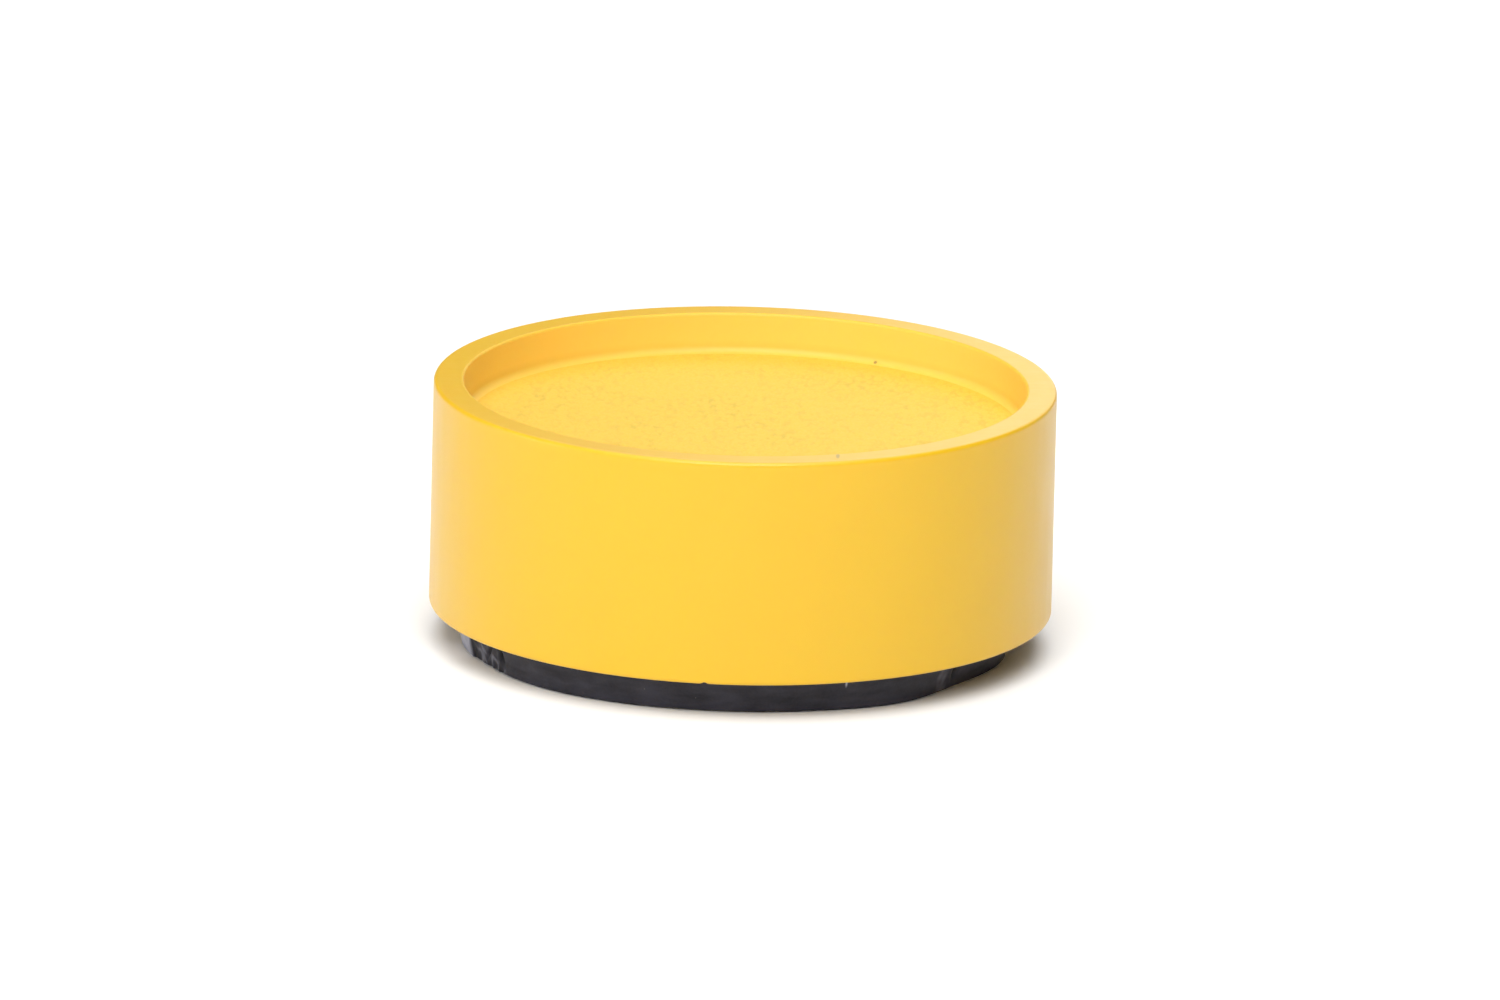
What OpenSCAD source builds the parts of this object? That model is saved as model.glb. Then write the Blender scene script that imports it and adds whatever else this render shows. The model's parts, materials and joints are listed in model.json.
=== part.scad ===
// Round raised pavement marker, in millimetres.
// A moulded shell with a shallow recess in its top is filled from below with a cast core,
// and stands on a soft adhesive pad that a release liner covers until the marker is laid.
// +Z is up. The origin is the centre of the face that rests on the road.

/* [Shell] */
// Outside diameter of the shell
shell_d = 76.2; // [60:0.1:110]
// Height of the shell, without the pad
shell_h = 27.9; // [24:0.1:40]
// Thickness of the side wall, which is also the width of the flat rim
wall_t = 3.7; // [2.5:0.1:5]
// Thickness of the panel between the recess and the hollow below it
panel_t = 3.6; // [2.4:0.1:5]
// Rounding of the rim's outer edge
rim_outer_round = 0.5; // [0.2:0.1:1]
// Rounding of the rim's inner edge, at the mouth of the recess
rim_inner_round = 0.3; // [0.1:0.1:0.8]
// Rounding of the outer edge at the foot of the side wall
foot_round = 0.4; // [0.2:0.1:1]

/* [Recess] */
// Depth of the round recess in the top
recess_depth = 5; // [2:0.1:6]
// Fillet at the foot of the recess wall
recess_fillet = 0.8; // [0.3:0.1:1.5]

/* [Ribs that lock the core] */
// Number of radial ribs under the panel
rib_count = 6; // [3:1:12]
// Thickness of each rib and of the ring that they start from
rib_t = 2; // [1.2:0.1:3]
// How far the ribs reach down from the panel
rib_depth = 11; // [4:0.5:14]
// Outside diameter of the ring that the ribs start from
hub_d = 16; // [12:0.5:24]

/* [Pad and liner] */
// Height of the pad and the liner together, under the shell
base_h = 4.8; // [3:0.1:8]
// Diameter of the pad where it meets the shell
pad_top_d = 68.4; // [54:0.1:68.8]
// Diameter of the pad at its foot
pad_foot_d = 66.6; // [52:0.1:68]
// Bevel around the foot of the pad
pad_bevel = 0.5; // [0.2:0.1:1]
// Thickness of the release liner
liner_t = 0.15; // [0.1:0.05:0.5]
// How far the liner stops short of the pad's bevel
liner_inset = 0.3; // [0:0.1:1]

/* [Hidden] */
$fn = 180;
// How far a cutting shape runs past the face that it cuts, and a rib into the wall
past = 1;
shell_r = shell_d / 2;
shell_z = base_h;
top_z = shell_z + shell_h;
recess_r = shell_r - wall_t;
floor_z = top_z - recess_depth;
hollow_r = recess_r;
hollow_top_z = floor_z - panel_t;
core_h = hollow_top_z - shell_z;
pad_top_r = pad_top_d / 2;
pad_foot_r = pad_foot_d / 2;
liner_r = pad_foot_r - pad_bevel - liner_inset;
hub_r = hub_d / 2;

// What a square corner at the origin loses when it is rounded; the body lies towards -X and -Y
module corner_waste(r) {
    translate([-r, -r])
        difference() {
            square(r + past);
            circle(r);
        }
}

// Half of the recess's section, with round corners at its foot
module recess_section() {
    translate([0, floor_z])
        square([recess_r - recess_fillet, recess_depth + past]);
    translate([0, floor_z + recess_fillet])
        square([recess_r, recess_depth - recess_fillet + past]);
    translate([recess_r - recess_fillet, floor_z + recess_fillet])
        circle(recess_fillet);
}

// Half of the shell's section, without the ribs
module shell_section() {
    difference() {
        translate([0, shell_z])
            square([shell_r, shell_h]);
        recess_section();
        translate([0, shell_z - past])
            square([hollow_r, core_h + past]);
        translate([shell_r, top_z])
            corner_waste(rim_outer_round);
        translate([recess_r, top_z])
            mirror([1, 0])
                corner_waste(rim_inner_round);
        translate([shell_r, shell_z])
            mirror([0, 1])
                corner_waste(foot_round);
    }
}

// The ring and the ribs under the panel, run a little into the panel and the wall
module locking_ribs() {
    translate([0, 0, hollow_top_z - rib_depth]) {
        difference() {
            cylinder(h = rib_depth + past, r = hub_r);
            translate([0, 0, -past])
                cylinder(h = rib_depth + 3 * past, r = hub_r - rib_t);
        }
        for (i = [0:rib_count - 1])
            rotate(i * 360 / rib_count)
                translate([hub_r - rib_t / 2, -rib_t / 2, 0])
                    cube([hollow_r + past - hub_r + rib_t / 2, rib_t, rib_depth + past]);
    }
}

// Moulded plastic shell: side wall, flat rim, recessed panel and the ribs under it
module marker_shell() {
    color([0.98, 0.79, 0.24]) {
        rotate_extrude()
            shell_section();
        locking_ribs();
    }
}

// Resin and sand, cast into the hollow and around the ribs, flush with the foot of the wall
module filler_core() {
    color([0.66, 0.62, 0.54])
        difference() {
            translate([0, 0, shell_z])
                cylinder(h = core_h, r = hollow_r);
            locking_ribs();
        }
}

// Soft butyl pad, cut with a slanted side and a small bevel at its foot
module adhesive_pad() {
    color([0.2, 0.2, 0.22])
        rotate_extrude()
            polygon([
                [0, liner_t],
                [pad_foot_r - pad_bevel, liner_t],
                [pad_foot_r, liner_t + pad_bevel],
                [pad_top_r, shell_z],
                [0, shell_z]
            ]);
}

// Coated paper that peels off the pad before the marker is laid
module release_liner() {
    color([0.93, 0.9, 0.82])
        cylinder(h = liner_t, r = liner_r);
}

marker_shell();
filler_core();
adhesive_pad();
release_liner();
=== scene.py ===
"""The looks of the raised pavement marker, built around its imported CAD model.

Lengths are in metres in the CAD frame: +Z up, the origin under the middle of the pad, and
the camera on the -Y side. Angles around the marker are in degrees from -Y, its front,
towards +X.
"""

import json
import math

import bpy
import numpy as np
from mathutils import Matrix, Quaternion, Vector, noise


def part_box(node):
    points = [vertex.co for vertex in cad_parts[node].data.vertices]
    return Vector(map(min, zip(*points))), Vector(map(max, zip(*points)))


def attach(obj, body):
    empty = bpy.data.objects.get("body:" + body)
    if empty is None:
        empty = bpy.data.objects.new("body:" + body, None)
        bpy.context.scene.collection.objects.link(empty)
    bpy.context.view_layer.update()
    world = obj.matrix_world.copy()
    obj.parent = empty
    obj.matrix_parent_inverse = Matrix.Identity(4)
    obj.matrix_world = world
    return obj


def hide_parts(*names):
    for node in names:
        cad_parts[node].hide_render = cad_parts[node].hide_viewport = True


MM = 0.001

# ---------------------------------------------------------------- the frame

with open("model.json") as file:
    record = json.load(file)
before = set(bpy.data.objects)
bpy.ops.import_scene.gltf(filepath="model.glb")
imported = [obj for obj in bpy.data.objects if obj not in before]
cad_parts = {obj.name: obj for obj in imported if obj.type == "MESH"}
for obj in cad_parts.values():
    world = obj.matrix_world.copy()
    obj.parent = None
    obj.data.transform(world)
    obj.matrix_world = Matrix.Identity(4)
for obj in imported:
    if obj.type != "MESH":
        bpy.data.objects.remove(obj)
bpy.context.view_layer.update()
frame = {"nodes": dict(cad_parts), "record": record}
mounts = {m["name"]: m for m in frame["record"]["mounts"]}
shell_low, shell_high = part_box("marker_shell")
core_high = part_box("filler_core")[1]
pad_low, pad_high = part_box("adhesive_pad")
liner_low, liner_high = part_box("release_liner")

shell_r = shell_high.x
top_z = shell_high.z
foot_z = shell_low.z
recess_r = mounts["top_recess"]["dims"]["r_mm"] * MM
floor_z = mounts["recess_floor"]["pos_m"][2]
hollow_r = core_high.x
hollow_z = core_high.z
pad_r = pad_high.x
liner_r = liner_high.x

# ---------------------------------------------------------------- measures of the shell

RIM_OUTER_ROUND = 0.5 * MM
RIM_INNER_ROUND = 0.3 * MM
FOOT_ROUND = 0.4 * MM
FILLET = 0.8 * MM
SUPPORT = 0.08 * MM  # a ring this close to a rounding keeps the flat beside it flat
FLOOR_RINGS = 120  # the recess floor's rings, and an eighth of the segments around the shell
SEGMENTS = 8 * FLOOR_RINGS

RIB_COUNT = 6
RIB_T = 2 * MM
RIB_DEPTH = 11 * MM
HUB_R = 8 * MM
HUB_SEGMENTS = 96
RIB_BITE = 0.3 * MM  # how far the ribs run into the wall and the panel

# The texture of the recess floor: half heights and sizes of its coarse and fine parts
GRAIN_COARSE = 0.016 * MM
GRAIN_COARSE_SIZE = 1.7 * MM
GRAIN_FINE = 0.03 * MM
GRAIN_FINE_SIZE = 0.8 * MM
GRAIN_FLAT_TOP = 0.15  # the fine grain, from -1 to 1, is cut flat above this
GRAIN_STRETCH = 0.45  # below 1 draws the texture out along Y
GRAIN_FADE = 0.8 * MM  # the texture fades out towards the fillet over this distance
WALL_WAVE = 0.014 * MM  # half the depth of the faint wave in the side wall
WALL_WAVE_SIZE = 7 * MM
WALL_WAVE_STRETCH = 3  # how many times longer the wave runs up the wall than around it
BURR = 0.09 * MM  # how far the rim's ragged inner edge stands into the recess
BURR_SIZE = 0.9 * MM
BURR_REACH = 0.4 * MM
BURR_ANGLE = -80  # where the burr is at its fullest
BURR_HALF_WIDTH = 45  # in degrees
BURR_ELSEWHERE = 0.1  # its share on the far side
NICK_ANGLE = -6.2
NICK_WIDTH = 0.6 * MM
NICK_DEPTH = 0.2 * MM
NICK_REACH = 1 * MM  # how far up the wall the nick in its foot fades out

# ---------------------------------------------------------------- measures of the pad and liner

PAD_SHIFT = Vector((-0.65 * MM, 0, 0))  # the pad is stuck on a little to the left
PAD_SEGMENTS = 1200
LINER_SEGMENTS = 600
PAD_SIDE_RINGS = 20
PAD_SLANT = 1.0 * MM  # how far the side runs inward from the shell to the foot
PAD_BEVEL = 0.4 * MM
# Soft bulges and hollows of the foot: angle, half width in degrees, height
PAD_BULGES = [
    (-45, 18, 0.45 * MM),
    (-7, 15, -0.15 * MM),
    (36, 13, 0.85 * MM),
    (55.5, 10, -0.45 * MM),
    (78, 8, 0.4 * MM),
]
# Narrow cracks: angle, lean in degrees over the pad's height, half width in degrees, depth
PAD_CRACKS = [
    (-62, 6, 0.6, 0.5 * MM),
    (-57.5, -4, 0.7, 0.55 * MM),
    (53.8, 0.6, 0.7, 0.45 * MM),
]
# Small unevenness of the whole side: half heights and sizes
PAD_WAVE, PAD_WAVE_SIZE = 0.03 * MM, 3 * MM
PAD_LUMPS, PAD_LUMPS_SIZE = 0.015 * MM, 0.9 * MM
PAD_SMEARS, PAD_SMEARS_SIZE = 0.015 * MM, 0.5 * MM
PAD_SMEARS_STRETCH = 4  # how many times longer the smears run around the side than up it
# The soft wave in the foot of the back, and the angles over which it sets in on both sides
PAD_BACK_WAVE, PAD_BACK_WAVE_SIZE = 0.3 * MM, 14 * MM
PAD_BACK_START = (80, 110)
# The wrinkles fade in and out over these angles
WRINKLES_START, WRINKLES_END = (-71, -69), (-57, -54)
FOLD_HEIGHT, FOLD_SIZE = 0.22 * MM, 1.3 * MM
FOLD_STRETCH = 0.7  # below 1 draws the folds out upward
FOLDS_SUNK = 0.18 * MM  # how far the wrinkled part lies below the rest
# Painted light on the crests of the folds, and painted shade between them and over the sunk part
FOLD_PAINTED_LIGHT, FOLDS_PAINTED_SHADE = 0.7, 0.32
CRACKS_OPEN = (0.1, 0.45)  # share of the pad's height over which the cracks open
# Painted shade inside the cracks
CRACK_PAINTED_SHADE = -1.2
# At the left the side stands out further, from the step up to where it fades
STEP_ANGLE, STEP_HALF_WIDTH = -71.4, 0.25
STEP_HEIGHT = 0.4 * MM
STEP_FADE = (-88, -80)
# Painted light: the step is coloured paler, mottled, where its shading is dark
STEP_PAINTED_LIGHT, STEP_MOTTLE, STEP_MOTTLE_SIZE = 0.8, 0.3, 0.8 * MM
# Painted shadow: the dark line beside the step
SHADE_ANGLE, SHADE_HALF_WIDTH = -70.1, 1.0  # of the dark line beside the step
SCRATCH_ANGLE, SCRATCH_HALF_WIDTH = 24, 0.25
SCRATCH_HEIGHT, SCRATCH_HALF_HEIGHT = 0.72, 0.09  # as shares of the pad's height
RUBBED_ANGLE, RUBBED_HALF_WIDTH = 49.5, 2.2
RUBBED_TONE, RUBBED_MOTTLE_SIZE = 0.25, 1 * MM

LINER_CUT, LINER_CUT_SIZE = 0.05 * MM, 5 * MM  # half the unevenness of its edge, and its size


# ---------------------------------------------------------------- mesh helpers


def arc(centre_r, centre_z, radius, start, end, steps):
    """Points (r, z) along an arc, its first and last points included. Angles in degrees."""
    points = []
    for i in range(steps + 1):
        a = math.radians(start + (end - start) * i / steps)
        points.append((centre_r + radius * math.cos(a), centre_z + radius * math.sin(a)))
    return points


def straight(start, end, steps):
    """Points (r, z) between start and end, without either of them."""
    return [
        (
            start[0] + (end[0] - start[0]) * i / steps,
            start[1] + (end[1] - start[1]) * i / steps,
        )
        for i in range(1, steps)
    ]


def ring_points(radius, z, segments):
    """One ring of a lathed mesh. It starts at the front and runs anticlockwise from above."""
    angles = np.arange(segments) * (2 * math.pi / segments)
    return [(radius * math.sin(a), -radius * math.cos(a), z) for a in angles]


def quads_between(first, second):
    """Faces between two rings, given as lists of vertex indices."""
    count = len(first)
    return [
        (first[i], first[(i + 1) % count], second[(i + 1) % count], second[i])
        for i in range(count)
    ]


def fan(ring, centre):
    """Faces between a ring and one vertex."""
    count = len(ring)
    return [(ring[i], ring[(i + 1) % count], centre) for i in range(count)]


def lathe(points, ring, outline, segments, change):
    """Adds a ring of points for each (r, z) of the outline, joined on from the ring given.

    Returns the faces and the last ring. The faces look away from the axis where the outline
    runs upward.
    """
    faces = []
    for r, z in outline:
        new = list(range(len(points), len(points) + segments))
        points += [change(p) for p in ring_points(r, z, segments)]
        faces += quads_between(ring, new)
        ring = new
    return faces, ring


def closed_lathe(outline, segments, change, middle_x):
    """Points and faces of a lathed solid, from the rim of its underside up to that of its top."""
    points = [change(p) for p in ring_points(*outline[0], segments)]
    first = list(range(segments))
    faces, last = lathe(points, first, outline[1:], segments, change)
    points.append((middle_x, 0, outline[0][1]))
    faces += [tuple(reversed(face)) for face in fan(first, len(points) - 1)]
    points.append((middle_x, 0, outline[-1][1]))
    faces += fan(last, len(points) - 1)
    return points, faces


def new_object(name, points, faces):
    """A smooth-shaded mesh object."""
    mesh = bpy.data.meshes.new(name)
    mesh.from_pydata([tuple(p) for p in points], [], faces)
    mesh.update()
    piece = bpy.data.objects.new(name, mesh)
    bpy.context.scene.collection.objects.link(piece)
    mesh.shade_smooth()
    return piece


def ripple(p, size, seed):
    """Smooth noise from -1 to 1 with features of about the given size. Seeds keep noises apart."""
    return noise.noise(Vector(p) / size + Vector((seed, 2 * seed, 3 * seed)))


def angle_of(p):
    """The angle of a point around the marker, from -180 to 180 degrees."""
    return math.degrees(math.atan2(p[0], -p[1]))


def bump_shape(distance, half_width):
    """1 at no distance, falling smoothly to about 0 at twice the half width."""
    return math.exp(-((distance / half_width) ** 2))


def smooth_step(x, low, high):
    """0 below low and 1 above high, with a smooth rise between them."""
    t = min(1.0, max(0.0, (x - low) / (high - low)))
    return t * t * (3 - 2 * t)


# ---------------------------------------------------------------- the shell


def disc_grid(radius, z, rings):
    """A round floor of near-square quads. Returns its points, faces and the edge's indices.

    A square grid is bent into rings: ring k holds 8 k points, evenly spaced around it.
    """
    points, index = [], {}
    for row in range(-rings, rings + 1):
        for col in range(-rings, rings + 1):
            k = max(abs(row), abs(col))
            if k == 0:
                turn = 0.0
            elif row == -k and col > -k:
                turn = col / k
            elif col == k:
                turn = 2 + row / k
            elif row == k:
                turn = 4 - col / k
            else:
                turn = 6 - row / k
            a = turn * math.pi / 4
            r = radius * k / rings
            index[row, col] = len(points)
            points.append((r * math.sin(a), -r * math.cos(a), z))
    faces = [
        (
            index[row, col],
            index[row, col + 1],
            index[row + 1, col + 1],
            index[row + 1, col],
        )
        for row in range(-rings, rings)
        for col in range(-rings, rings)
    ]
    edge = (
        [index[-rings, c] for c in range(0, rings)]
        + [index[r, rings] for r in range(-rings, rings)]
        + [index[rings, c] for c in range(rings, -rings, -1)]
        + [index[r, -rings] for r in range(rings, -rings, -1)]
        + [index[-rings, c] for c in range(-rings, 0)]
    )
    return points, faces, edge


def grain(p):
    """Height of the moulded texture on the recess floor: flat-topped grains with pits between."""
    distance = recess_r - FILLET - math.hypot(p[0], p[1])
    fade = smooth_step(distance, 0, GRAIN_FADE)
    along = (p[0], p[1] * GRAIN_STRETCH, p[2])
    coarse = ripple(along, GRAIN_COARSE_SIZE, 11.0)
    pits = min(GRAIN_FLAT_TOP, ripple(along, GRAIN_FINE_SIZE, 23.0))
    return fade * (GRAIN_COARSE * coarse + GRAIN_FINE * pits)


def recess_outline():
    """The section of the recess, from the floor's edge up to the flat of the rim."""
    wall_top = top_z - RIM_INNER_ROUND
    outline = arc(recess_r - FILLET, floor_z + FILLET, FILLET, -90, 0, 7)
    outline.append((recess_r, floor_z + FILLET + SUPPORT))
    outline += straight((recess_r, floor_z + FILLET), (recess_r, wall_top), 3)
    outline.append((recess_r, wall_top - SUPPORT))
    outline += arc(recess_r + RIM_INNER_ROUND, wall_top, RIM_INNER_ROUND, 180, 90, 4)
    return outline


def outer_outline():
    """The section of the rest: over the rim, down the side and up into the hollow."""
    rim_in, rim_out = recess_r + RIM_INNER_ROUND, shell_r - RIM_OUTER_ROUND
    side_top, side_foot = top_z - RIM_OUTER_ROUND, foot_z + FOOT_ROUND
    outline = [(rim_in + SUPPORT, top_z), ((rim_in + rim_out) / 2, top_z)]
    outline.append((rim_out - SUPPORT, top_z))
    outline += arc(rim_out, side_top, RIM_OUTER_ROUND, 90, 0, 5)
    outline.append((shell_r, side_top - SUPPORT))
    outline += straight((shell_r, side_top), (shell_r, side_foot), 5)
    outline.append((shell_r, side_foot + SUPPORT))
    outline += arc(shell_r - FOOT_ROUND, side_foot, FOOT_ROUND, 0, -90, 4)
    outline.append((shell_r - FOOT_ROUND - SUPPORT, foot_z))
    outline += [(hollow_r, foot_z), (hollow_r, hollow_z)]
    return outline


def small_faults(p):
    """A point of the shell's side or rim, moved by what a real moulding has."""
    x, y, z = p
    r, a = math.hypot(x, y), angle_of(p)
    move = rise = 0.0
    near_edge = math.hypot(r - recess_r, z - top_z)
    if near_edge < BURR_REACH:
        nearness = bump_shape(a - BURR_ANGLE, BURR_HALF_WIDTH)
        share = BURR_ELSEWHERE + (1 - BURR_ELSEWHERE) * nearness
        ragged = 0.5 + 0.5 * ripple(p, BURR_SIZE, 5.0)
        move -= BURR * share * ragged * (1 - near_edge / BURR_REACH)
    if r > shell_r - SUPPORT:
        move -= WALL_WAVE * (1 + ripple((x, y, z / WALL_WAVE_STRETCH), WALL_WAVE_SIZE, 31.0))
    if z < foot_z + NICK_REACH and r > shell_r - FOOT_ROUND - 2 * SUPPORT:
        across = math.radians(a - NICK_ANGLE) * shell_r
        fade = 1 - smooth_step(z, foot_z, foot_z + NICK_REACH)
        rise = NICK_DEPTH * fade * bump_shape(across, NICK_WIDTH / 2)
    return (x * (1 + move / r), y * (1 + move / r), z + rise)


def box_solid(low, high, turn):
    """Corners and faces of a box, turned about Z by an angle in degrees."""
    a = math.radians(turn)
    points = [
        (x * math.cos(a) - y * math.sin(a), x * math.sin(a) + y * math.cos(a), z)
        for z in (low[2], high[2])
        for x, y in ((low[0], low[1]), (high[0], low[1]), (high[0], high[1]), (low[0], high[1]))
    ]
    faces = [(3, 2, 1, 0), (4, 5, 6, 7)]
    faces += [(i, (i + 1) % 4, 4 + (i + 1) % 4, 4 + i) for i in range(4)]
    return points, faces


def make_ribs():
    """The ring and the ribs under the panel, as one closed mesh each."""
    low_z, high_z = hollow_z - RIB_DEPTH, hollow_z + RIB_BITE
    corners = [(HUB_R - RIB_T, low_z), (HUB_R, low_z), (HUB_R, high_z), (HUB_R - RIB_T, high_z)]
    points, faces, rings = [], [], []
    for r, z in corners:
        rings.append(list(range(len(points), len(points) + HUB_SEGMENTS)))
        points += ring_points(r, z, HUB_SEGMENTS)
    for i in range(len(corners)):
        faces += quads_between(rings[i], rings[(i + 1) % len(corners)])
    solids = [new_object("hub_ring", points, faces)]
    for i in range(RIB_COUNT):
        low = (HUB_R - RIB_T / 2, -RIB_T / 2, low_z)
        high = (hollow_r + RIB_BITE, RIB_T / 2, high_z)
        solids.append(new_object("rib", *box_solid(low, high, 360 * i / RIB_COUNT)))
    return solids


def join_into(piece, solid):
    """Adds a closed mesh to the piece as one solid, and removes the mesh's own object."""
    union = piece.modifiers.new("union", "BOOLEAN")
    union.operation = "UNION"
    union.solver = "MANIFOLD"
    union.object = solid
    evaluated = piece.evaluated_get(bpy.context.evaluated_depsgraph_get())
    joined = bpy.data.meshes.new_from_object(evaluated)
    piece.modifiers.remove(union)
    piece.data = joined
    bpy.data.objects.remove(solid)


def make_shell(plastic, recess, textured):
    """The shell: its floor, recess wall and outside as one skin, with the ribs joined on."""
    points, floor_faces, edge = disc_grid(recess_r - FILLET, floor_z, FLOOR_RINGS)
    points = [(p[0], p[1], p[2] + grain(p)) for p in points]
    wall_faces, ring = lathe(points, edge, recess_outline()[1:], SEGMENTS, small_faults)
    outer_faces, ring = lathe(points, ring, outer_outline(), SEGMENTS, small_faults)
    points.append((0, 0, hollow_z))
    outer_faces += fan(ring, len(points) - 1)
    lathed = [tuple(reversed(face)) for face in wall_faces + outer_faces]
    shell = new_object("shell", points, floor_faces + lathed)
    for material in (plastic, recess, textured):
        shell.data.materials.append(material)
    # Each face's material, by its place in the list above
    slots = [2] * len(floor_faces) + [1] * len(wall_faces) + [0] * len(outer_faces)
    shell.data.polygons.foreach_set("material_index", slots)
    for solid in make_ribs():
        join_into(shell, solid)
    return shell


# ---------------------------------------------------------------- the pad and the liner


def wrinkles(a, p):
    """The folds at the pad's left: how far they stand out, and their tone: painted light on the
    crests and painted shade between them.
    """
    inside = smooth_step(a, *WRINKLES_START) * (1 - smooth_step(a, *WRINKLES_END))
    folds = 1 - 2 * abs(ripple((p[0], p[1], p[2] * FOLD_STRETCH), FOLD_SIZE, 53.0))
    out = inside * (FOLD_HEIGHT * folds - FOLDS_SUNK)
    tone = inside * (FOLD_PAINTED_LIGHT * folds - FOLDS_PAINTED_SHADE)
    return out, tone


def cracks(a, height):
    """The narrow cracks, open towards the shell: how far they stand out, and their tone, which is
    painted shade.

    Both are below 0 inside a crack.
    """
    out = tone = 0.0
    for angle, lean, half_width, depth in PAD_CRACKS:
        line = angle + lean * (height - 0.5)
        crack = bump_shape(a - line, half_width) * smooth_step(height, *CRACKS_OPEN)
        out -= depth * crack
        tone += CRACK_PAINTED_SHADE * crack
    return out, tone


def step_at_left(a, p):
    """The step at the far left: how far it stands out, its painted light, and the painted shadow
    line beside it.
    """
    past_edge = smooth_step(STEP_ANGLE - a, -STEP_HALF_WIDTH, STEP_HALF_WIDTH)
    step = past_edge * smooth_step(a, *STEP_FADE)
    tone = step * (STEP_PAINTED_LIGHT + STEP_MOTTLE * ripple(p, STEP_MOTTLE_SIZE, 61.0))
    tone -= bump_shape(a - SHADE_ANGLE, SHADE_HALF_WIDTH)
    return STEP_HEIGHT * step, tone


def marks(a, height, p):
    """The tone of the rubbed patch and the scratch."""
    rubbed = RUBBED_TONE * bump_shape(a - RUBBED_ANGLE, RUBBED_HALF_WIDTH)
    rubbed *= 1 + ripple(p, RUBBED_MOTTLE_SIZE, 71.0)
    scratch = bump_shape(a - SCRATCH_ANGLE, SCRATCH_HALF_WIDTH)
    scratch *= bump_shape(height - SCRATCH_HEIGHT, SCRATCH_HALF_HEIGHT)
    return rubbed + scratch


def unevenness(a, height, p):
    """How far the side stands out for its soft bulges and its small unevenness."""
    out = PAD_WAVE * ripple(p, PAD_WAVE_SIZE, 41.0)
    out += PAD_LUMPS * ripple(p, PAD_LUMPS_SIZE, 43.0)
    around = (p[0] / PAD_SMEARS_STRETCH, p[1] / PAD_SMEARS_STRETCH, p[2])
    out += PAD_SMEARS * ripple(around, PAD_SMEARS_SIZE, 47.0)
    for angle, half_width, bulge in PAD_BULGES:
        out += (1 - height) * bulge * bump_shape(a - angle, half_width)
    back = smooth_step(abs(a), *PAD_BACK_START)
    out += back * (1 - height) * PAD_BACK_WAVE * ripple(p, PAD_BACK_WAVE_SIZE, 59.0)
    return out


def pad_side(a, height, p):
    """The pad's side at an angle, from 0 at the foot to 1 at the shell.

    Returns how far it stands out, and its tone: below 0 for painted shade in cracks, between folds
    and beside the step; above 0 where it is rubbed or scratched, and for painted light on fold
    crests and the step.
    """
    worked = [wrinkles(a, p), cracks(a, height), step_at_left(a, p)]
    out = unevenness(a, height, p) + sum(w[0] for w in worked)
    tone = marks(a, height, p) + sum(w[1] for w in worked)
    return out, tone


def make_pad(material):
    """The pad. Its tone, with its painted light and shade, is kept as an attribute of the points,
    for the material.
    """
    foot_r = pad_r - PAD_SLANT
    low_z, high_z = pad_low.z, pad_high.z
    outline = arc(foot_r - PAD_BEVEL, low_z + PAD_BEVEL, PAD_BEVEL, -90, 0, 5)
    outline += straight((foot_r, low_z + PAD_BEVEL), (pad_r, high_z), PAD_SIDE_RINGS)
    outline.append((pad_r, high_z))
    tones = []

    def worked(p):
        height = (p[2] - low_z) / (high_z - low_z)
        out, tone = pad_side(angle_of(p), height, p)
        tones.append(tone)
        grown = 1 + out / math.hypot(p[0], p[1])
        return Vector((p[0] * grown, p[1] * grown, p[2])) + PAD_SHIFT

    pad = new_object("pad", *closed_lathe(outline, PAD_SEGMENTS, worked, PAD_SHIFT.x))
    tones += [0.0, 0.0]  # the middles of its underside and its top
    pad.data.attributes.new("tone", "FLOAT", "POINT").data.foreach_set("value", tones)
    pad.data.materials.append(material)
    return pad


def make_liner(material):
    """A disc of paper, its edge cut very slightly uneven."""
    low_z, high_z = liner_low.z, liner_high.z
    round_off = (high_z - low_z) / 4
    outline = [
        (liner_r - round_off, low_z),
        (liner_r, low_z + round_off),
        (liner_r, high_z - round_off),
        (liner_r - round_off, high_z),
    ]

    def cut(p):
        off = LINER_CUT * (1 + ripple(p, LINER_CUT_SIZE, 67.0)) / liner_r
        return Vector((p[0] * (1 - off), p[1] * (1 - off), p[2])) + PAD_SHIFT

    liner = new_object("liner", *closed_lathe(outline, LINER_SEGMENTS, cut, PAD_SHIFT.x))
    liner.data.materials.append(material)
    return liner


# ---------------------------------------------------------------- materials


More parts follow.
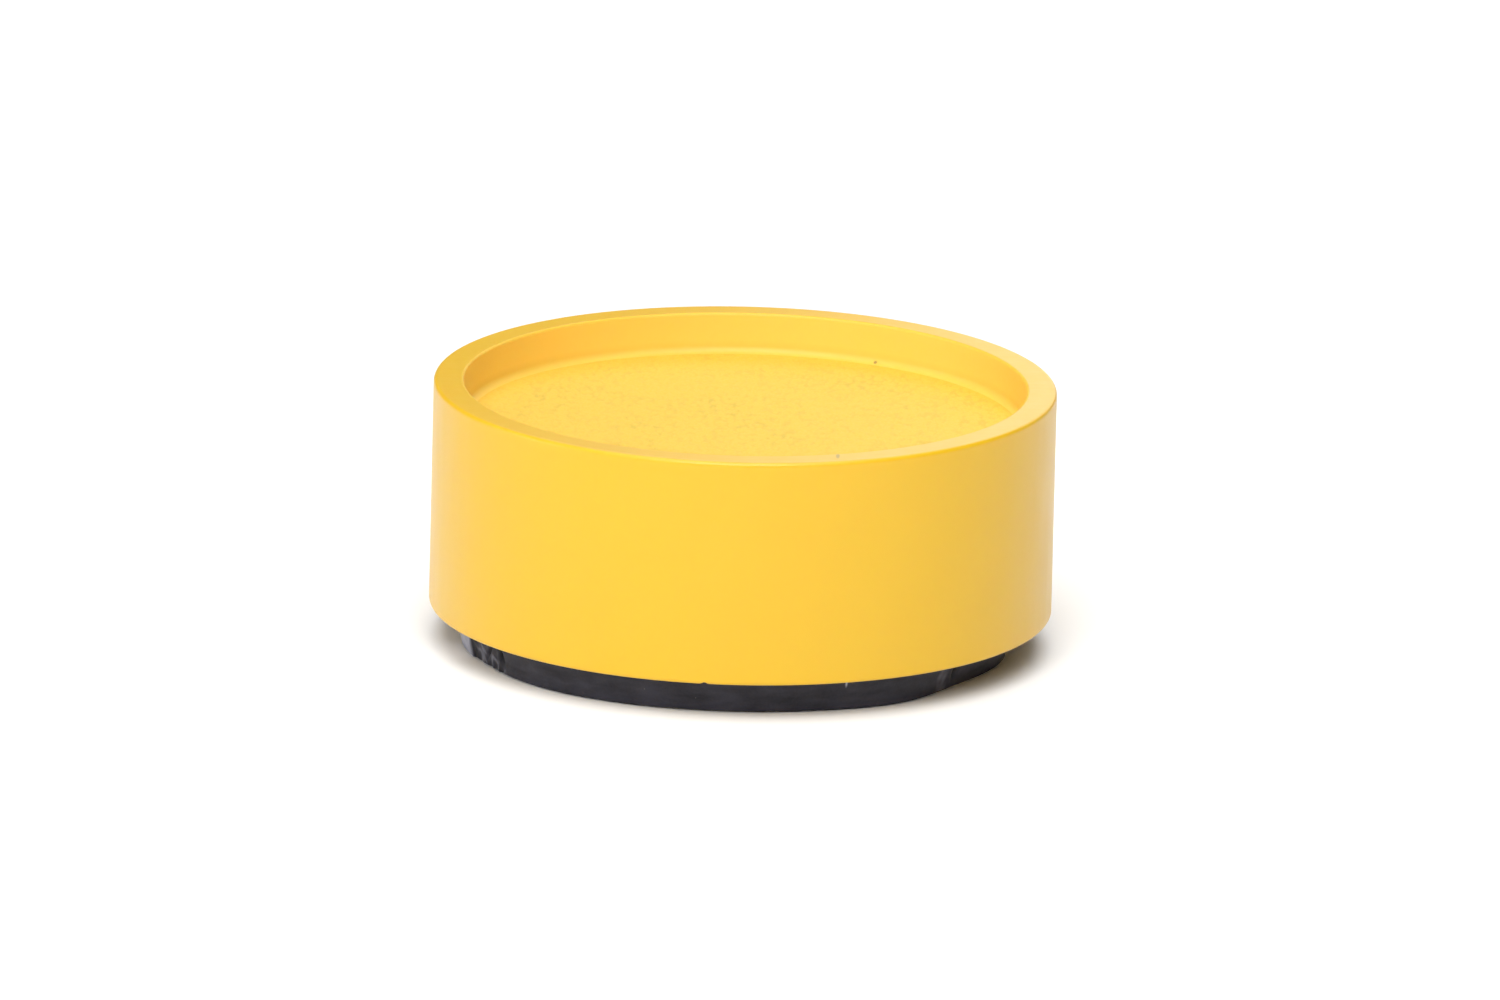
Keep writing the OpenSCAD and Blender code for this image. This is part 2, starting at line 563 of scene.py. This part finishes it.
class Nodes:
    """A new material with short calls to add nodes to it."""

    def __init__(self, name):
        self.material = bpy.data.materials.new(name)
        self.material.use_nodes = True
        self.tree = self.material.node_tree
        self.shader = self.tree.nodes["Principled BSDF"]
        self.place = self.add("ShaderNodeTexCoord").outputs["Object"]

    def add(self, kind, settings=None, **values):
        """A node of a kind. Its settings are set first, then each value is fed to its socket."""
        node = self.tree.nodes.new(kind)
        for key, value in (settings or {}).items():
            setattr(node, key, value)
        for key, value in values.items():
            self.feed(node, key.replace("_", " "), value)
        return node

    def feed(self, node, socket, value):
        """Links a socket's value to it, or sets a constant on it."""
        if isinstance(value, bpy.types.NodeSocket):
            self.tree.links.new(value, node.inputs[socket])
        else:
            node.inputs[socket].default_value = value

    def set(self, **values):
        """Feeds values to the sockets of the material's shader."""
        for key, value in values.items():
            self.feed(self.shader, key.replace("_", " "), value)

    def stretched(self, x, y, z):
        """The object's coordinates, scaled along each axis."""
        node = self.add("ShaderNodeMapping", Vector=self.place)
        node.inputs["Scale"].default_value = (x, y, z)
        return node.outputs["Vector"]

    def noise(self, size, detail=2.0, place=None):
        """Noise from 0 to 1 with features of about the given size."""
        where = place or self.place
        node = self.add("ShaderNodeTexNoise", Vector=where, Scale=1 / size, Detail=detail)
        return node.outputs["Fac"]

    def ramp(self, value, low, high, to_low=0.0, to_high=1.0):
        """The value, mapped from one range to another and held within it."""
        node = self.add("ShaderNodeMapRange", Value=value, From_Min=low, From_Max=high)
        node.inputs["To Min"].default_value = to_low
        node.inputs["To Max"].default_value = to_high
        return node.outputs["Result"]

    def blend(self, amount, first, second):
        """A colour between two others."""
        node = self.add("ShaderNodeMix", {"data_type": "RGBA"})
        self.feed(node, "Factor", amount)
        for socket, colour in ((node.inputs[6], first), (node.inputs[7], second)):
            if isinstance(colour, bpy.types.NodeSocket):
                self.tree.links.new(colour, socket)
            else:
                socket.default_value = (*colour, 1)
        return node.outputs[2]

    def calculate(self, operation, first, second):
        """The result of a sum or product of two values."""
        node = self.add("ShaderNodeMath", {"operation": operation})
        self.feed(node, 0, first)
        self.feed(node, 1, second)
        return node.outputs[0]

    def times(self, first, second):
        """The product of two values."""
        return self.calculate("MULTIPLY", first, second)

    def sum(self, *parts):
        """The weighted sum of values, given as (value, weight)."""
        weighted = [self.times(value, weight) for value, weight in parts]
        total = weighted[0]
        for part in weighted[1:]:
            total = self.calculate("ADD", total, part)
        return total

    def specks(self, spacing, size, share):
        """1 inside small round specks, one for some of the cells of the given spacing."""
        cells = self.add("ShaderNodeTexVoronoi", Vector=self.place, Scale=1 / spacing)
        dot = self.ramp(cells.outputs["Distance"], size / spacing, 0.6 * size / spacing)
        parts = self.add("ShaderNodeSeparateColor", Color=cells.outputs["Color"])
        chosen = self.ramp(parts.outputs[0], 1 - share, 1 - share + 0.001)
        return self.times(dot, chosen)

    def spot(self, point, size, scale=(1, 1, 1)):
        """1 inside a small ball about a point. A scale below 1 draws it out along that axis."""
        away = self.add("ShaderNodeVectorMath", {"operation": "DISTANCE"})
        self.feed(away, 0, self.stretched(*scale))
        self.feed(away, 1, [p * s for p, s in zip(point, scale)])
        return self.ramp(away.outputs["Value"], size, 0.5 * size)

    def relief(self, height, depth):
        """Bumps of the given depth, for a height from 0 to 1."""
        node = self.add("ShaderNodeBump", Height=height, Distance=depth, Strength=1.0)
        self.set(Normal=node.outputs["Normal"])


def shade(colour, factor):
    """A colour made darker by a factor below 1, or lighter by one above it."""
    return tuple(c * factor for c in colour)


# The plastic is one moulding; its surfaces differ in finish. The recess wall, fillet and floor get
# lighter copies of its yellow as painted light, and the fillet's is toned down as painted shade on
# its band of light.
YELLOW = (0.67, 0.402, 0.0095)
RECESS_YELLOW_PAINTED_LIGHT = (0.88, 0.575, 0.09)
FILLET_YELLOW_PAINTED_SHADE = (0.77, 0.505, 0.07)
FLOOR_YELLOW_PAINTED_LIGHT = (0.74, 0.455, 0.041)
FLOOR_PITS_PAINTED_SHADE = (0.6, 0.395, 0.035)
DIRT = (0.2, 0.14, 0.03)
BUTYL, BUTYL_SMEARED = (0.012, 0.0118, 0.019), (0.03, 0.029, 0.045)
BUTYL_DUST = (0.22, 0.2, 0.18)
# A pale colour for rubbed wear and for painted light, and a near-black one for painted shade
BUTYL_RUBBED_AND_PAINTED_LIGHT, BUTYL_PAINTED_SHADE = (0.42, 0.43, 0.52), (0.003, 0.003, 0.004)
RESIN = (0.33, 0.29, 0.22)
SAND_PALE, SAND_DARK = (0.5, 0.44, 0.33), (0.2, 0.17, 0.13)
PAPER_DARK, PAPER_PALE = (0.66, 0.59, 0.46), (0.76, 0.7, 0.58)
SPECK_ON_FILLET = (15.9 * MM, 30.2 * MM, floor_z + 0.22 * MM)
MARK_ON_RIM = (11.4 * MM, -33.5 * MM, top_z)


def translucent(m):
    """The slight depth of a pigmented plastic, which reddens its shadows and thin edges."""
    m.set(Subsurface_Weight=0.2, Subsurface_Radius=(1.0, 0.4, 0.08), Subsurface_Scale=2.5 * MM)


def smooth_plastic():
    """Semi-gloss moulded plastic with faint flow marks, handling marks, dust and one dark mark."""
    m = Nodes("shell_plastic")
    flow = m.noise(9 * MM, 3)
    rubbed = m.noise(2.5 * MM, 4, m.stretched(1, 1, 0.25))
    hairlines = m.noise(0.5 * MM, 3, m.stretched(0.12, 1, 2))
    colour = m.blend(flow, shade(YELLOW, 0.985), shade(YELLOW, 1.015))
    dust = m.specks(7 * MM, 0.14 * MM, 0.12)
    colour = m.blend(m.times(dust, 0.55), colour, DIRT)
    mark = m.spot(MARK_ON_RIM, 0.3 * MM, (1, 0.2, 1))
    m.set(Base_Color=m.blend(m.times(mark, 0.6), colour, DIRT))
    m.set(Roughness=m.ramp(m.sum((rubbed, 0.6), (hairlines, 0.4)), 0.3, 0.7, 0.3, 0.38))
    m.relief(m.sum((rubbed, 0.4), (hairlines, 0.6)), 0.004 * MM)
    translucent(m)
    return m.material


def recess_plastic():
    """The satin wall and fillet of the recess, painted lighter than the outside as painted light,
    and the rim's inner rounding above them.
    """
    m = Nodes("recess_plastic")
    flow = m.noise(6 * MM, 3)
    satin = m.noise(0.4 * MM, 3)
    height = m.add("ShaderNodeSeparateXYZ", Vector=m.place).outputs["Z"]
    on_wall = m.ramp(height, floor_z + FILLET / 2, floor_z + 2 * FILLET)
    # Painted light: the wall gets a lighter copy of the yellow. The fillet gets a less light one,
    # as painted shade on its band of light.
    colour = m.blend(flow, shade(RECESS_YELLOW_PAINTED_LIGHT, 0.98), shade(RECESS_YELLOW_PAINTED_LIGHT, 1.01))
    colour = m.blend(on_wall, FILLET_YELLOW_PAINTED_SHADE, colour)
    colour = m.blend(m.ramp(height, top_z - RIM_INNER_ROUND, top_z), colour, YELLOW)
    speck = m.spot(SPECK_ON_FILLET, 0.3 * MM)
    m.set(Base_Color=m.blend(m.times(speck, 0.8), colour, DIRT))
    m.set(Roughness=m.ramp(satin, 0.3, 0.7, 0.5, 0.6))
    m.relief(satin, 0.006 * MM)
    translucent(m)
    return m.material


def textured_plastic():
    """The recess floor: flat grains in a lighter copy of the yellow, as painted light, with
    painted shade in the pits between them.
    """
    m = Nodes("textured_plastic")
    along = m.stretched(1, GRAIN_STRETCH, 1)
    smooth = {"feature": "SMOOTH_F1"}
    cells = m.add("ShaderNodeTexVoronoi", smooth, Vector=along, Scale=1 / (0.6 * MM))
    grains = m.ramp(cells.outputs["Distance"], 0.25, 0.75)
    fine = m.noise(0.3 * MM, 3, along)
    patches = m.noise(8 * MM, 2)
    pits = m.ramp(m.sum((grains, 0.55), (fine, 0.45)), 0.38, 0.72)
    painted_pit_shade = m.times(pits, m.ramp(patches, 0.35, 0.65, 0.35, 1.0))
    # Painted shade in the pits, over a lighter copy of the yellow as painted light.
    colour = m.blend(painted_pit_shade, FLOOR_YELLOW_PAINTED_LIGHT, FLOOR_PITS_PAINTED_SHADE)
    dust = m.specks(9 * MM, 0.2 * MM, 0.1)
    m.set(Base_Color=m.blend(m.times(dust, 0.7), colour, DIRT))
    m.set(Roughness=m.ramp(fine, 0.3, 0.7, 0.6, 0.72))
    m.relief(m.sum((grains, -0.6), (fine, 0.4)), 0.02 * MM)
    translucent(m)
    return m.material


def pad_butyl():
    """Dark butyl with smears along its side, rubbed lighter patches, stuck dust, and painted light
    and shade from the points' tone.
    """
    m = Nodes("pad_butyl")
    smears = m.noise(1.2 * MM, 4, m.stretched(0.25, 0.25, 1))
    patches = m.noise(5 * MM, 3)
    fine = m.noise(0.3 * MM, 3)
    dull = m.sum((smears, 0.5), (patches, 0.35), (fine, 0.15))
    colour = m.blend(m.ramp(dull, 0.38, 0.62), BUTYL, BUTYL_SMEARED)
    dust = m.specks(1.6 * MM, 0.09 * MM, 0.25)
    colour = m.blend(m.times(dust, 0.4), colour, BUTYL_DUST)
    tone = m.add("ShaderNodeAttribute", {"attribute_name": "tone"}).outputs["Fac"]
    # Tone above 0.1 paints rubbed wear, plus painted light on the step and fold crests; below -0.1
    # it paints shade in cracks and creases.
    colour = m.blend(m.ramp(tone, 0.1, 1.0), colour, BUTYL_RUBBED_AND_PAINTED_LIGHT)
    m.set(Base_Color=m.blend(m.ramp(tone, -0.1, -1.0), colour, BUTYL_PAINTED_SHADE))
    m.set(Roughness=m.ramp(dull, 0.35, 0.65, 0.62, 0.48), Specular_IOR_Level=0.32)
    m.relief(m.sum((smears, 0.5), (fine, 0.5)), 0.03 * MM)
    return m.material


def cast_resin():
    """Resin filled with sand: pale and dark grains in a dull brown-grey binder."""
    m = Nodes("cast_resin")
    cells = m.add("ShaderNodeTexVoronoi", Vector=m.place, Scale=1 / (0.6 * MM))
    parts = m.add("ShaderNodeSeparateColor", Color=cells.outputs["Color"])
    grit = m.ramp(cells.outputs["Distance"], 0.45, 0.3)
    sand = m.blend(parts.outputs[0], SAND_PALE, SAND_DARK)
    m.set(Base_Color=m.blend(grit, RESIN, sand))
    m.set(Roughness=m.ramp(m.noise(0.5 * MM), 0.3, 0.7, 0.6, 0.85))
    m.relief(m.sum((grit, 0.7), (m.noise(1.5 * MM, 4), 0.3)), 0.08 * MM)
    return m.material


def liner_paper():
    """Coated kraft paper: short fibres under a thin satin coat."""
    m = Nodes("liner_paper")
    fibres = m.noise(0.25 * MM, 3, m.stretched(0.15, 1, 1))
    cloudy = m.noise(3 * MM, 3)
    mix = m.ramp(m.sum((fibres, 0.6), (cloudy, 0.4)), 0.35, 0.65)
    m.set(Base_Color=m.blend(mix, PAPER_DARK, PAPER_PALE))
    m.set(Roughness=m.ramp(fibres, 0.3, 0.7, 0.35, 0.5))
    m.relief(fibres, 0.01 * MM)
    return m.material


# ---------------------------------------------------------------- stage, lights and camera


def make_stage():
    """A pale floor. It glows beyond the reach of the lights, so that it stays pale to its end."""
    half = 40.0
    glow_starts, glow_is_full = 0.25, 0.8
    floor = new_object(
        "stage_floor",
        [(-half, -half, 0), (half, -half, 0), (half, half, 0), (-half, half, 0)],
        [(0, 1, 2, 3)],
    )
    m = Nodes("stage_paper")
    reach = m.add("ShaderNodeVectorMath", {"operation": "LENGTH"})
    m.feed(reach, 0, m.place)
    m.set(Base_Color=(0.95, 0.95, 0.95, 1), Roughness=0.9, Emission_Color=(1, 1, 1, 1))
    m.set(Emission_Strength=m.ramp(reach.outputs["Value"], glow_starts, glow_is_full))
    floor.data.materials.append(m.material)


def soft_light(name, place, aim, size, power, tilt=0.0):
    """A soft panel of light, not seen by the camera itself. Its tilt is in degrees."""
    data = bpy.data.lights.new(name, "AREA")
    data.shape = "RECTANGLE"
    data.size, data.size_y = size
    data.energy = power
    light = bpy.data.objects.new(name, data)
    light.location = place
    light.rotation_mode = "QUATERNION"
    upright = (Vector(aim) - Vector(place)).to_track_quat("-Z", "Y")
    light.rotation_quaternion = upright @ Quaternion((0, 0, 1), math.radians(tilt))
    light.visible_camera = False
    bpy.context.scene.collection.objects.link(light)


def make_lights():
    """Soft panels in front, at the left, above and behind, and a dim white world."""
    middle = (0, 0, 0.02)
    soft_light("key_front", (0, -0.8, 0.8), middle, (0.8, 0.6), 10.6)
    soft_light("key_left", (-0.55, -0.75, 0.7), middle, (0.6, 0.6), 2.5)
    soft_light("side_left", (-1.0, -0.1, 0.35), middle, (0.7, 0.6), 3.0)
    soft_light("top", (0, -0.1, 1.0), middle, (1.0, 1.0), 6.7)
    soft_light("back_top", (0, 0.8, 0.9), middle, (0.8, 0.6), 1.75)
    soft_light("back_low", (0, 1.2, 0.35), middle, (1.4, 0.6), 0.12)
    soft_light("back_right", (0.057, 0.15, 0.128), (0.057, 0, 0.128), (0.15, 0.15), 0.1, tilt=45)
    world = bpy.data.worlds.new("studio")
    bpy.context.scene.world = world
    world.use_nodes = True
    background = world.node_tree.nodes["Background"]
    background.inputs["Color"].default_value = (1, 1, 1, 1)
    background.inputs["Strength"].default_value = 0.09


def make_camera():
    """A camera far away in front, a little above level, with a long lens."""
    elevation, roll = math.radians(14.85), math.radians(1.41)
    distance, view_width = 3.8, 183.35 * MM
    aim_right, aim_down = 0.9 * MM, 0.7 * MM
    data = bpy.data.cameras.new("camera")
    data.sensor_width = 36
    data.lens = data.sensor_width * distance / view_width
    camera = bpy.data.objects.new("camera", data)
    middle = Vector((0, 0, (foot_z + top_z) / 2))
    back = Vector((0, -math.cos(elevation), math.sin(elevation)))
    up = Vector((0, math.sin(elevation), math.cos(elevation)))
    aim = middle + Vector((aim_right, 0, 0)) - up * aim_down
    camera.location = aim + back * distance
    camera.rotation_mode = "QUATERNION"
    level = (-back).to_track_quat("-Z", "Y")
    camera.rotation_quaternion = level @ Quaternion((0, 0, 1), roll)
    bpy.context.scene.collection.objects.link(camera)
    bpy.context.scene.camera = camera


# ---------------------------------------------------------------- assembly


def stand_for(piece, node):
    """Puts a piece in the place of a CAD node, on the root body."""
    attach(piece, "root")
    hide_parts(node)


shell = make_shell(smooth_plastic(), recess_plastic(), textured_plastic())
stand_for(shell, "marker_shell")
stand_for(make_pad(pad_butyl()), "adhesive_pad")
stand_for(make_liner(liner_paper()), "release_liner")
core = frame["nodes"]["filler_core"]
core.data.materials.clear()
core.data.materials.append(cast_resin())

make_stage()
make_lights()
make_camera()
bpy.context.scene.view_settings.view_transform = "Standard"
